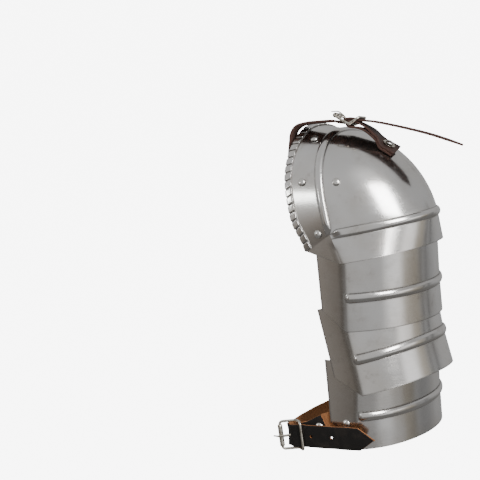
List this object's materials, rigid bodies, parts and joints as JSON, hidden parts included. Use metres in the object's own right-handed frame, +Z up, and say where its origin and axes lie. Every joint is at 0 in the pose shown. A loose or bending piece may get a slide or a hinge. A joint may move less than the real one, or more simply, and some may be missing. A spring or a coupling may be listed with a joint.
{
  "type": "shoulder pauldron",
  "caption": "Left steel shoulder pauldron: domed cop with a rolled slit edge, beaded lames hung on leathers, buckled shoulder and arm straps.",
  "frame": {"origin": "under the crest of the cop, on its inner face, where the pauldron sits on the shoulder", "axes": "+Z up, +X away from the neck, +Y towards the wearer's back"},
  "size_m": [0.1838, 0.1843, 0.3677],
  "materials": {
    "plate_steel": "satin",
    "rivet_steel": "satin",
    "dark_leather": "satin",
    "brown_leather": "satin",
    "buckle_metal": "gloss"
  },
  "bodies": {
    "root": {"shoulder_cop": "plate_steel", "upper_lame": "plate_steel", "middle_lame": "plate_steel", "lower_lame": "plate_steel", "front_band_rivet_top": "rivet_steel", "front_band_rivet_middle": "rivet_steel", "front_band_rivet_low": "rivet_steel", "back_band_rivet_top": "rivet_steel", "back_band_rivet_middle": "rivet_steel", "back_band_rivet_low": "rivet_steel", "front_face_rivet": "rivet_steel", "front_upper_lame_rivet": "rivet_steel", "front_middle_lame_rivet": "rivet_steel", "front_lower_lame_rivet": "rivet_steel", "back_face_rivet": "rivet_steel", "back_upper_lame_rivet": "rivet_steel", "back_middle_lame_rivet": "rivet_steel", "back_lower_lame_rivet": "rivet_steel", "arm_strap_rivet": "rivet_steel", "arm_buckle_strap_rivet": "rivet_steel", "arm_fold_rivet": "rivet_steel", "tab_rivet": "rivet_steel", "front_leather": "dark_leather", "back_leather": "dark_leather", "arm_strap": "dark_leather", "arm_buckle_strap": "dark_leather", "shoulder_strap": "brown_leather", "shoulder_buckle_strap": "brown_leather", "arm_buckle_frame": "buckle_metal", "arm_buckle_roller": "buckle_metal", "arm_buckle_tongue": "buckle_metal", "shoulder_buckle_frame": "buckle_metal", "shoulder_buckle_roller": "buckle_metal", "shoulder_buckle_tongue": "buckle_metal", "tab_washer": "buckle_metal"}
  },
  "joints": []
}
